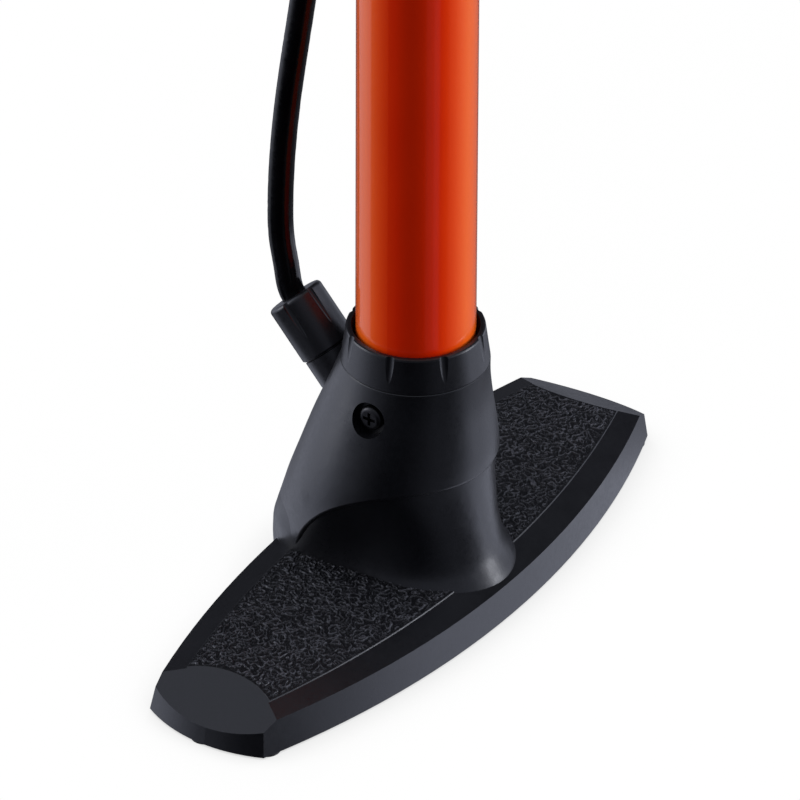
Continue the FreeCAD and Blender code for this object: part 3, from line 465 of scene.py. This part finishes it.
def dial_scale():
    """Printed strokes round the dial, longer at every fifth."""
    points = []
    faces = []
    for index in range(TICK_COUNT):
        angle = SCALE_START + SCALE_SPAN * index / (TICK_COUNT - 1)
        inner, half_width = LONG_TICK if index % TICKS_PER_MAJOR == 0 else SHORT_TICK
        add_tick(points, faces, angle, inner, half_width)
    mesh = bpy.data.meshes.new("dial_scale")
    mesh.from_pydata(points, [], faces)
    scale = bpy.data.objects.new("dial_scale", mesh)
    bpy.context.scene.collection.objects.link(scale)
    ink = moulded_plastic("scale_ink", (0.008, 0.008, 0.009), (0.014, 0.014, 0.015), 0.5)
    mesh.materials.append(ink)
    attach(scale, "base")


dial_scale()

# ---- loose copies of the hose and the spring ---------------------------------------


def loose_copy(node, name):
    """Copy of a CAD node, on no body, that stands for it."""
    source = NODES[node]
    loose = source.copy()
    loose.data = source.data.copy()
    loose.name = name
    bpy.context.scene.collection.objects.link(loose)
    world = source.matrix_world.copy()
    loose.parent = None
    loose.matrix_world = world
    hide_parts(node)
    return loose


def flexible_hose():
    """Loose copy of the upper hose, baked in place, that stands for it."""
    bendy = loose_copy("upper_hose", "upper_hose_flex")
    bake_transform(bendy)


def yielding_spring():
    """Copy of the valve spring, on the base with a mesh of its own, that stands for it."""
    spring = loose_copy("check_spring", "check_spring_flex")
    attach(spring, "base")
    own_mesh(spring)


flexible_hose()
yielding_spring()

# ---- studio ------------------------------------------------------------------------


def towards_camera():
    """Direction from the origin to the camera."""
    a, e = VIEW_AZIMUTH, VIEW_ELEVATION
    return Vector((math.sin(a) * math.cos(e), -math.cos(a) * math.cos(e), math.sin(e)))


def camera_axes():
    """Right, up and backward directions of the view."""
    a, e = VIEW_AZIMUTH, VIEW_ELEVATION
    right = Vector((math.cos(a), math.sin(a), 0.0))
    up = Vector((-math.sin(a) * math.sin(e), math.cos(a) * math.sin(e), math.cos(e)))
    back = towards_camera()
    turned_right = right * math.cos(VIEW_ROLL) + up * math.sin(VIEW_ROLL)
    turned_up = up * math.cos(VIEW_ROLL) - right * math.sin(VIEW_ROLL)
    per_width = SENSOR / VIEW_LENS
    forward = turned_right * (AIM_RIGHT * per_width) + turned_up * (AIM_UP * per_width) - back
    forward.normalize()
    aimed_right = forward.cross(turned_up).normalized()
    return aimed_right, aimed_right.cross(forward), -forward


def add_camera():
    """Camera at the photograph's angle."""
    data = bpy.data.cameras.new("camera")
    data.lens = VIEW_LENS
    data.sensor_width = SENSOR
    data.clip_end = FAR_CLIP
    camera = bpy.data.objects.new("camera", data)
    bpy.context.scene.collection.objects.link(camera)
    right, up, back = camera_axes()
    place = Vector((0, 0, PIVOT_HEIGHT)) + towards_camera() * VIEW_DISTANCE
    camera.matrix_world = Matrix((
        (right.x, up.x, back.x, place.x),
        (right.y, up.y, back.y, place.y),
        (right.z, up.z, back.z, place.z),
        (0, 0, 0, 1),
    ))
    bpy.context.scene.camera = camera


def add_area(name, place, target, width, height, power, mirrored):
    """Soft box, either mirrored in shiny surfaces or only lighting them."""
    data = bpy.data.lights.new(name, "AREA")
    data.shape = "RECTANGLE"
    data.size = width
    data.size_y = height
    data.energy = power
    light = bpy.data.objects.new(name, data)
    bpy.context.scene.collection.objects.link(light)
    direction = Vector(target) - Vector(place)
    light.location = place
    light.visible_glossy = mirrored
    light.rotation_euler = direction.to_track_quat("-Z", "Y").to_euler()


def flat(azimuth, radius, height):
    """Point at an azimuth measured clockwise from the camera's side, seen from above."""
    a = VIEW_AZIMUTH + math.radians(azimuth)
    return (math.sin(a) * radius, -math.cos(a) * radius, height)


def around(m, vector):
    """Bearing of a vector about the pump, 0 to 1 for a whole turn, with 0.5 towards the camera."""
    flat_right = (math.cos(VIEW_AZIMUTH), math.sin(VIEW_AZIMUTH), 0.0)
    flat_front = (math.sin(VIEW_AZIMUTH), -math.cos(VIEW_AZIMUTH), 0.0)
    parts = []
    for axis in (flat_right, flat_front):
        dot = m.add("ShaderNodeVectorMath", operation="DOT_PRODUCT")
        m.link(vector, dot.inputs[0])
        dot.inputs[1].default_value = axis
        parts.append(dot.outputs["Value"])
    angle = m.math("ARCTAN2", parts[0], parts[1])
    return m.ramp(angle, -math.pi, math.pi)


def profile(m, value, stops):
    """Smooth grey profile over 0 to 1 from (degrees, brightness) stops, -180 to 180."""
    node = m.add("ShaderNodeValToRGB")
    node.color_ramp.interpolation = "EASE"
    elements = node.color_ramp.elements
    while len(elements) < len(stops):
        elements.new(0.5)
    for element, (degrees, grey) in zip(elements, stops):
        element.position = (degrees + 180.0) / 360.0
        element.color = (*(grey * channel for channel in COOL), 1.0)
    m.link(value, node.inputs["Fac"])
    return node.outputs["Color"]


# bearing in degrees about the pump from the camera's direction, and brightness
FLOOR_FAR = [
    (-180, 0.065), (-150, 0.10), (-136, 0.38), (-100, 0.42), (-95, 0.03), (-80, 0.012), (-40, 0.005),
    (14, 0.005), (20, 0.06), (31, 0.07), (34, 0.14), (41, 0.13), (46, 0.012), (58, 0.012), (66, 0.07),
    (88, 0.11), (92, 0.13), (113, 0.16), (140, 0.14), (180, 0.065),
]
FLOOR_NEAR = [
    (-180, 0.35), (-152, 0.40), (-136, 1.0), (-116, 1.15), (-95, 1.30), (-84, 1.0), (-66, 0.42),
    (-50, 0.26), (-35, 0.06), (-12, 0.02), (10, 0.03), (20, 0.10), (34, 0.2), (41, 0.2), (55, 0.10),
    (70, 0.18), (83, 0.9), (90, 2.0), (97, 1.6), (104, 1.2), (118, 1.35), (140, 1.0), (160, 0.35),
    (180, 0.35),
]
SKY_LOW = [
    (-180, 0.11), (-150, 0.16), (-120, 1.0), (-100, 1.4), (-80, 0.8), (-50, 0.22), (-30, 0.08),
    (0, 0.02), (20, 0.05), (50, 0.18), (70, 0.8), (87, 2.6), (105, 1.2), (120, 0.7), (150, 0.16),
    (180, 0.11),
]
SKY_HIGH = [
    (-180, 0.055), (-150, 0.09), (-120, 1.2), (-95, 1.1), (-70, 0.45), (-20, 0.40), (20, 0.40), (60, 0.5),
    (90, 1.3), (120, 1.0), (150, 0.09), (180, 0.055),
]
COOL = (0.87, 0.91, 1.08)
NEAR_REACH = (0.13, 0.09)  # floor this close to the pump glows as it does towards the horizon
STEEP_LOOK = (-0.51, -0.38)
SHADOW_REACH = 0.022       # width of the soft contact shadow
SHADOW_DEPTH = 0.62
FLOOR_HALF = 6.0
SKY_RAISED = (0.15, 0.42)  # heights of a unit vector between which the low sky turns to the high one
OVERHEAD = (0.825, 0.895)
OVERHEAD_COLOUR = (0.62, 0.64, 0.68)
WHITE = (1, 1, 1, 1)
BOX_DISTANCE = 1.5
# name, bearing, height, height aimed at, width and height of the box, watts, mirrored in the pump
SOFT_BOXES = [
    ("right_box", 89, 0.25, 0.05, 0.45, 0.9, 9, True),
    ("right_fill", 86, 0.3, 0.2, 0.9, 1.1, 9, False),
    ("left_box", -95, 0.5, 0.2, 0.7, 1.1, 10, True),
]


def add_floor():
    """White floor for the camera; what it throws onto the pump is uneven, as in a light tent."""
    mesh = bpy.data.meshes.new("floor")
    corners = [(x * FLOOR_HALF, y * FLOOR_HALF, 0) for x, y in ((-1, -1), (1, -1), (1, 1), (-1, 1))]
    mesh.from_pydata(corners, [], [(0, 1, 2, 3)])
    floor = bpy.data.objects.new("floor", mesh)
    bpy.context.scene.collection.objects.link(floor)
    m = Material("floor_white")
    shade = m.add("ShaderNodeAmbientOcclusion", samples=8)
    shade.inputs["Distance"].default_value = SHADOW_REACH
    seen = m.add("ShaderNodeEmission")
    grain = m.ramp(m.noise(3.0, 2.0), 0.3, 0.7, 0.995, 1.005)
    shadow = m.ramp(shade.outputs["AO"], 0.0, 0.9, SHADOW_DEPTH, 1.0)
    m.link(m.math("MULTIPLY", shadow, grain), seen.inputs["Strength"])
    geometry = m.add("ShaderNodeNewGeometry")
    length = m.add("ShaderNodeVectorMath", operation="LENGTH")
    m.link(geometry.outputs["Position"], length.inputs[0])
    near = m.ramp(length.outputs["Value"], *NEAR_REACH)
    outgoing = m.add("ShaderNodeVectorMath", operation="SCALE")
    outgoing.inputs["Scale"].default_value = -1.0
    m.link(geometry.outputs["Incoming"], outgoing.inputs[0])
    glow = m.add("ShaderNodeEmission")
    bearing = around(m, outgoing.outputs["Vector"])
    split = m.add("ShaderNodeSeparateXYZ")
    m.link(outgoing.outputs["Vector"], split.inputs[0])
    near = m.math("MAXIMUM", near, m.ramp(split.outputs["Z"], *STEEP_LOOK))
    tent = m.mix(near, profile(m, bearing, FLOOR_FAR), profile(m, bearing, FLOOR_NEAR))
    m.link(tent, glow.inputs["Color"])
    choice = m.add("ShaderNodeMixShader")
    m.link(m.add("ShaderNodeLightPath").outputs["Is Camera Ray"], choice.inputs["Fac"])
    m.link(glow.outputs[0], choice.inputs[1])
    m.link(seen.outputs[0], choice.inputs[2])
    m.link(choice.outputs[0], m.out.inputs["Surface"])
    m.mat.cycles.emission_sampling = "NONE"
    mesh.materials.append(m.mat)


class World(Material):
    """The surroundings, built with the same short calls."""

    def __init__(self):
        self.mat = bpy.data.worlds.new("studio")
        self.mat.use_nodes = True
        self.tree = self.mat.node_tree
        self.tree.nodes.clear()
        self.out = self.add("ShaderNodeOutputWorld")
        self.place = self.add("ShaderNodeTexCoord").outputs["Generated"]


def add_world():
    """White backdrop for the camera; bright overhead and at both sides for everything else."""
    m = World()
    split = m.add("ShaderNodeSeparateXYZ")
    m.link(m.place, split.inputs[0])
    overhead = m.ramp(split.outputs["Z"], *OVERHEAD)
    bearing = around(m, m.place)
    raised = m.ramp(split.outputs["Z"], *SKY_RAISED)
    lower = m.mix(raised, profile(m, bearing, SKY_LOW), profile(m, bearing, SKY_HIGH))
    glow = m.add("ShaderNodeBackground")
    m.link(m.mix(overhead, lower, OVERHEAD_COLOUR), glow.inputs["Color"])
    seen = m.add("ShaderNodeBackground")
    seen.inputs["Color"].default_value = WHITE
    choice = m.add("ShaderNodeMixShader")
    m.link(m.add("ShaderNodeLightPath").outputs["Is Camera Ray"], choice.inputs["Fac"])
    m.link(glow.outputs[0], choice.inputs[1])
    m.link(seen.outputs[0], choice.inputs[2])
    m.link(choice.outputs[0], m.out.inputs["Surface"])
    bpy.context.scene.world = m.mat


add_camera()
add_floor()
add_world()
for name, bearing, box_z, target_z, width, height, power, mirrored in SOFT_BOXES:
    add_area(name, flat(bearing, BOX_DISTANCE, box_z), (0, 0, target_z), width, height, power, mirrored)
bpy.context.scene.view_settings.view_transform = "Standard"
